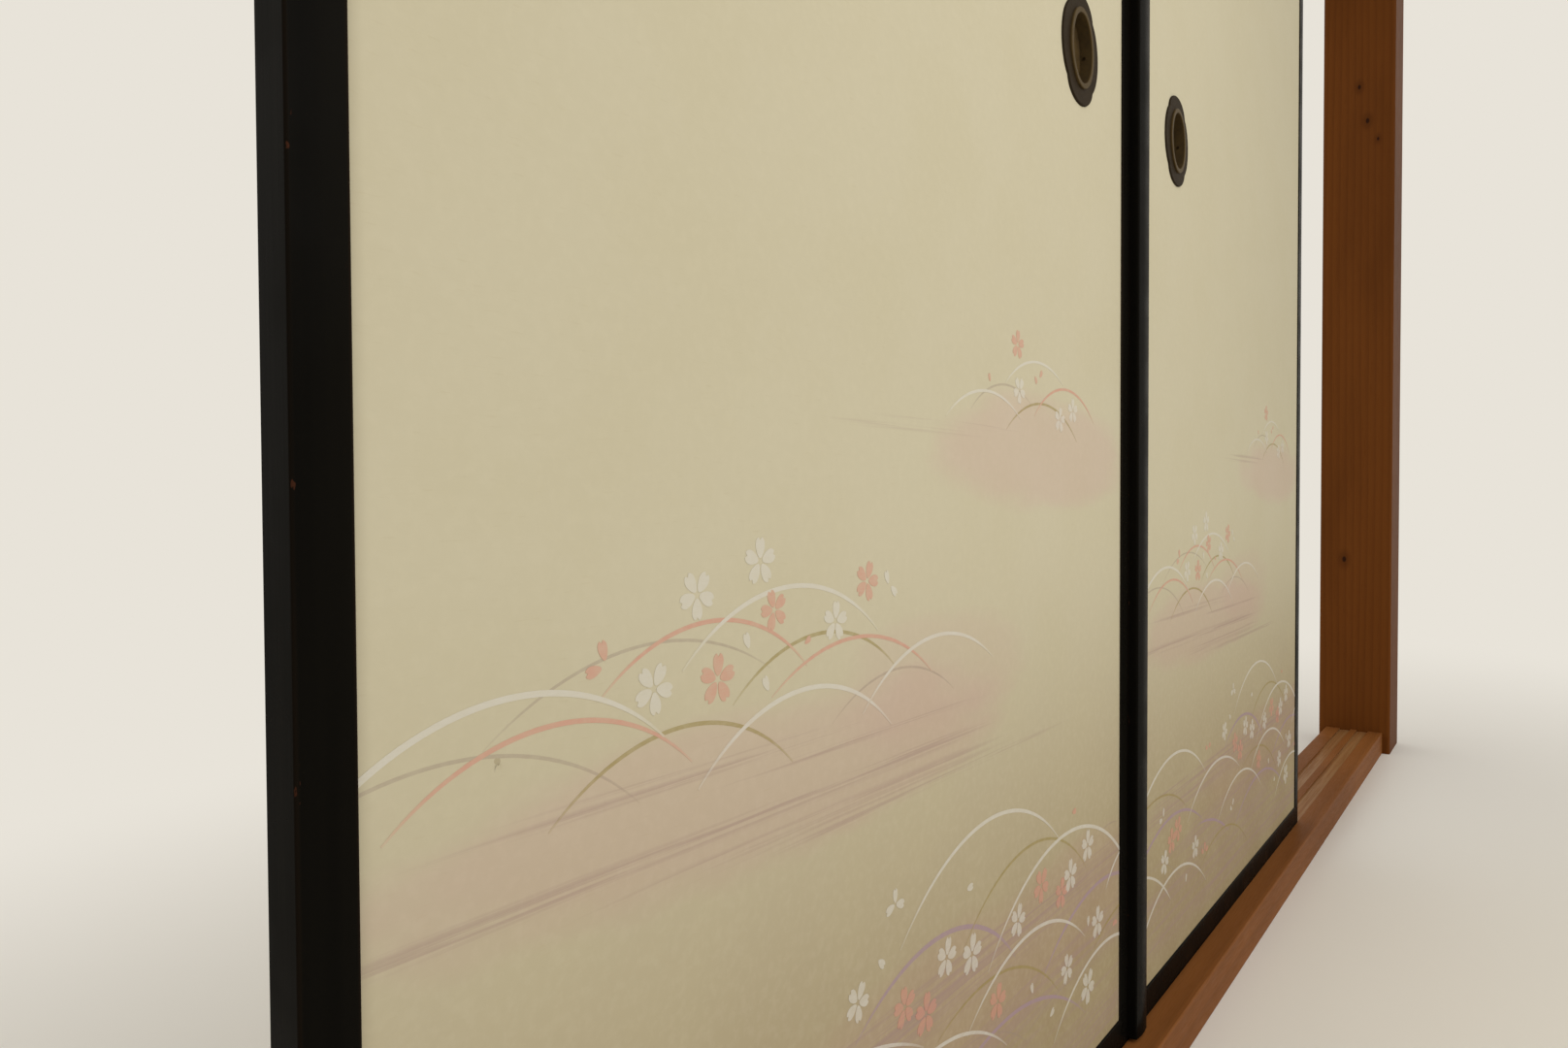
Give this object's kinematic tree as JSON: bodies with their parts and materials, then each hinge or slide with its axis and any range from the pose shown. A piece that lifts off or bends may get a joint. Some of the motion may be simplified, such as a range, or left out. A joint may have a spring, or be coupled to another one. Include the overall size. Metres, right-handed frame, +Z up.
{
  "type": "pair of fusuma sliding panels",
  "caption": "Pair of papered, black-edged sliding panels that meet at a covering strip, with oval finger pulls, hung in a two-track wooden frame.",
  "frame": {"origin": "middle of the sill's underside, on the floor, under the joint between the two panels", "axes": "+X along the wall to the right seen from the room that the picture shows, -Y towards that room, +Z up"},
  "size_m": [3.362, 0.136, 1.844],
  "materials": {
    "stained_frame_wood": "brown stained softwood, planed, dull sheen",
    "black_lacquer": "black lacquer on wood, semi-gloss, worn to bare wood in chips along one arris",
    "printed_paper": "aged cream paper with a soft print of clouds, grass arcs and blossoms, matt",
    "dark_bronze": "dark patinated bronze, satin",
    "brown_bronze": "brown patinated bronze, rubbed brighter on the rim",
    "nail_metal": "small brass nails",
    "plain_steel": "plain steel nails, hidden in the edging",
    "plain_cedar": "sawn cedar, hidden inside the panels"
  },
  "bodies": {
    "frame": {"head": "stained_frame_wood", "left_post": "stained_frame_wood", "right_post": "stained_frame_wood", "sill": "stained_frame_wood"},
    "left_panel": {"left_back_paper": "printed_paper", "left_back_pull_cup": "brown_bronze", "left_back_pull_nails": "nail_metal", "left_back_pull_plate": "dark_bronze", "left_bottom_rail": "black_lacquer", "left_corner_boards": "plain_cedar", "left_cross_battens": "plain_cedar", "left_cross_ribs": "plain_cedar", "left_front_paper": "printed_paper", "left_front_pull_cup": "brown_bronze", "left_front_pull_nails": "nail_metal", "left_front_pull_plate": "dark_bronze", "left_joint_strip": "black_lacquer", "left_meeting_stile": "black_lacquer", "left_outer_stile": "black_lacquer", "left_pull_board": "plain_cedar", "left_rail_nails": "plain_steel", "left_stile_nails": "plain_steel", "left_top_rail": "black_lacquer", "left_upright_battens": "plain_cedar", "left_upright_ribs": "plain_cedar"},
    "right_panel": {"right_back_paper": "printed_paper", "right_back_pull_cup": "brown_bronze", "right_back_pull_nails": "nail_metal", "right_back_pull_plate": "dark_bronze", "right_bottom_rail": "black_lacquer", "right_corner_boards": "plain_cedar", "right_cross_battens": "plain_cedar", "right_cross_ribs": "plain_cedar", "right_front_paper": "printed_paper", "right_front_pull_cup": "brown_bronze", "right_front_pull_nails": "nail_metal", "right_front_pull_plate": "dark_bronze", "right_meeting_stile": "black_lacquer", "right_outer_stile": "black_lacquer", "right_pull_board": "plain_cedar", "right_rail_nails": "plain_steel", "right_stile_nails": "plain_steel", "right_top_rail": "black_lacquer", "right_upright_battens": "plain_cedar", "right_upright_ribs": "plain_cedar"}
  },
  "joints": [
    {"name": "left_panel_slide", "type": "slide", "parent": "frame", "child": "left_panel", "axis": [-1, 0, 0], "range_m": [0, 0.76]},
    {"name": "right_panel_slide", "type": "slide", "parent": "frame", "child": "right_panel", "axis": [1, 0, 0], "range_m": [0, 0.76]}
  ]
}
